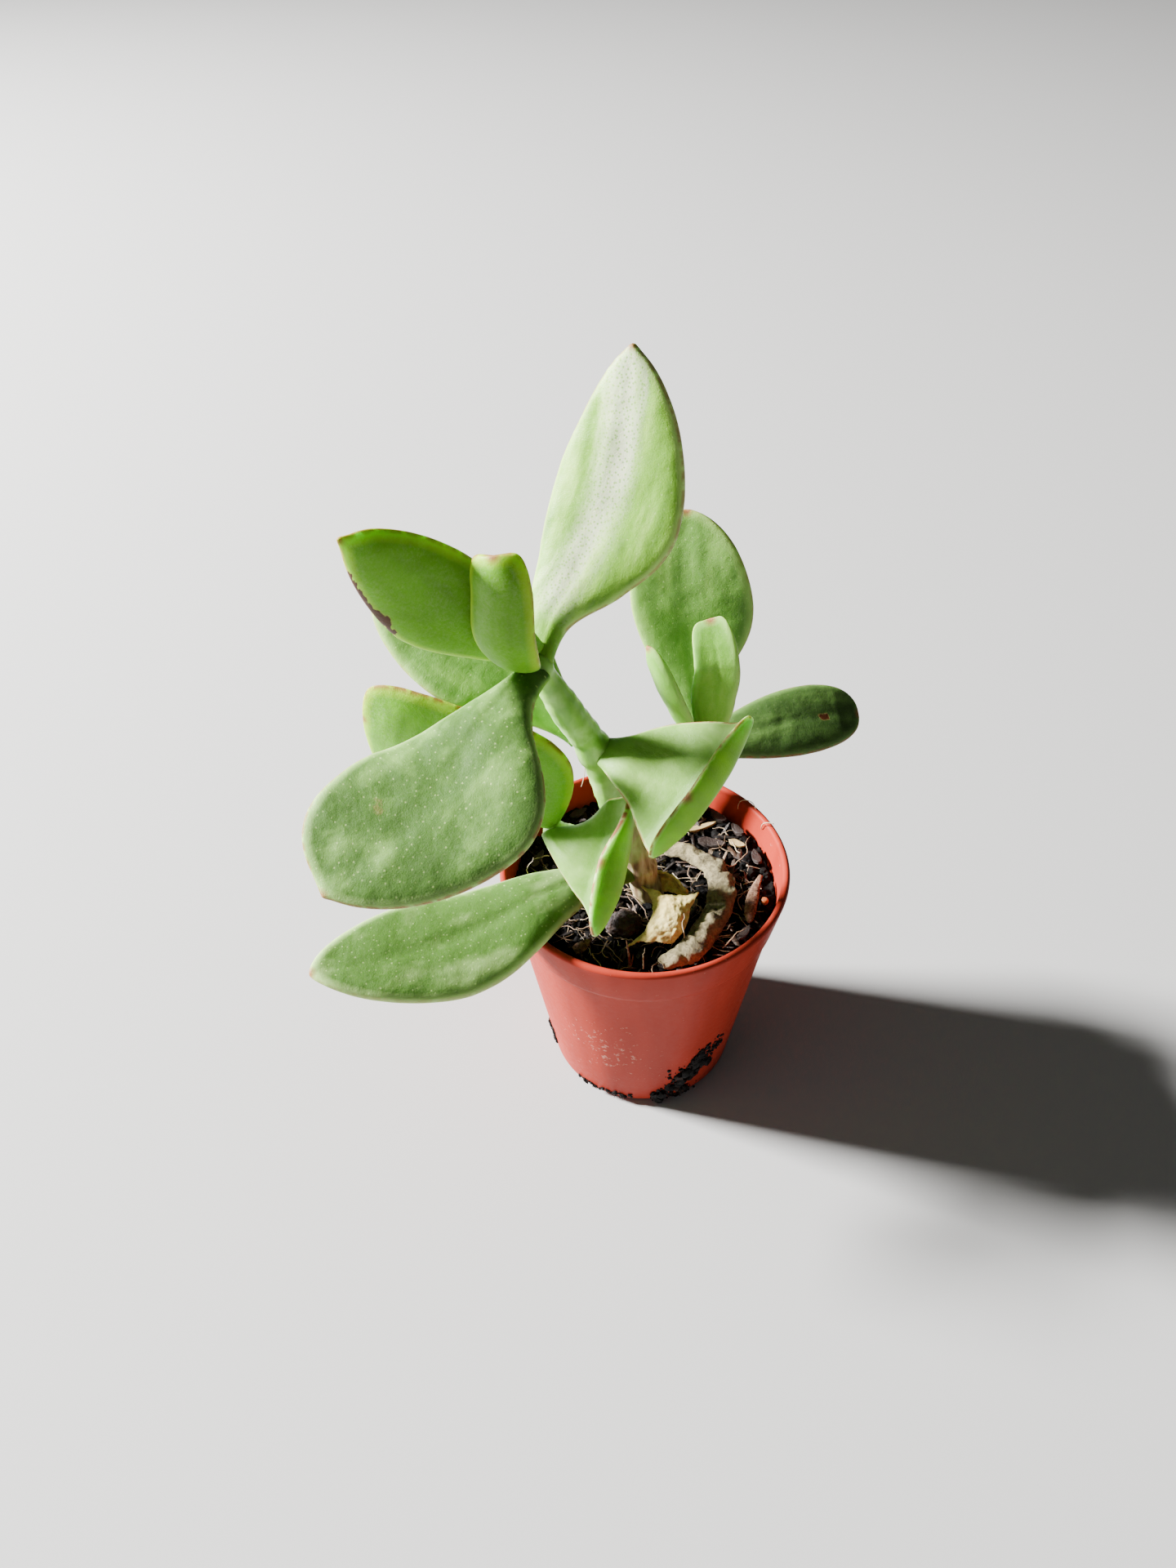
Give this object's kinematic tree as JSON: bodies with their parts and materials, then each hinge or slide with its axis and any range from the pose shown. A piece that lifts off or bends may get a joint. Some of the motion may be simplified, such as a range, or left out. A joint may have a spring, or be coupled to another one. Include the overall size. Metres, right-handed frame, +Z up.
{
  "type": "trumpet jade",
  "caption": "Young potted succulent: two round stems with thick spoon leaves, some curled up at the end like trumpets, rooted in peat in a small tapered plastic pot.",
  "frame": {"origin": "middle of the underside of the pot", "axes": "+Z up along the axis of the pot, -Y towards the viewer of the picture, +X to the viewer's right"},
  "size_m": [0.1019, 0.0725, 0.1454],
  "materials": {
    "pot_plastic": "satin",
    "peat": "matte",
    "leaf": "satin",
    "young_leaf": "satin",
    "shaded_leaf": "satin",
    "stem": "satin",
    "dry_cream": "matte",
    "dry_grey": "matte",
    "bark": "matte",
    "straw": "matte",
    "seed_coat": "satin"
  },
  "bodies": {
    "root": {"pot": "pot_plastic", "compost": "peat", "main_stem": "stem", "right_stem": "stem", "leaf_top": "leaf", "leaf_front_left": "leaf", "leaf_low_left": "leaf", "leaf_upper_left": "young_leaf", "leaf_back_left": "leaf", "leaf_young_top": "young_leaf", "leaf_side_back": "young_leaf", "leaf_right_trumpet": "leaf", "leaf_side_trumpet": "leaf", "leaf_back_right": "leaf", "leaf_young_right": "young_leaf", "leaf_young_left": "young_leaf", "leaf_far_right": "shaded_leaf", "dry_leaf_cream": "dry_cream", "dry_leaf_grey": "dry_grey", "bud_scale": "bark", "brown_leaf_tip": "bark", "dry_spike": "bark", "peat_clod": "peat", "seed": "seed_coat", "straw_stick": "straw", "straw_chip": "straw", "bark_chip_1": "bark", "bark_chip_2": "bark", "bark_chip_3": "bark", "bark_chip_4": "bark", "bark_chip_5": "bark", "bark_chip_6": "bark", "bark_chip_7": "bark", "peat_smear_right": "peat", "peat_smear_left": "peat", "peat_smear_front": "peat"}
  },
  "joints": []
}
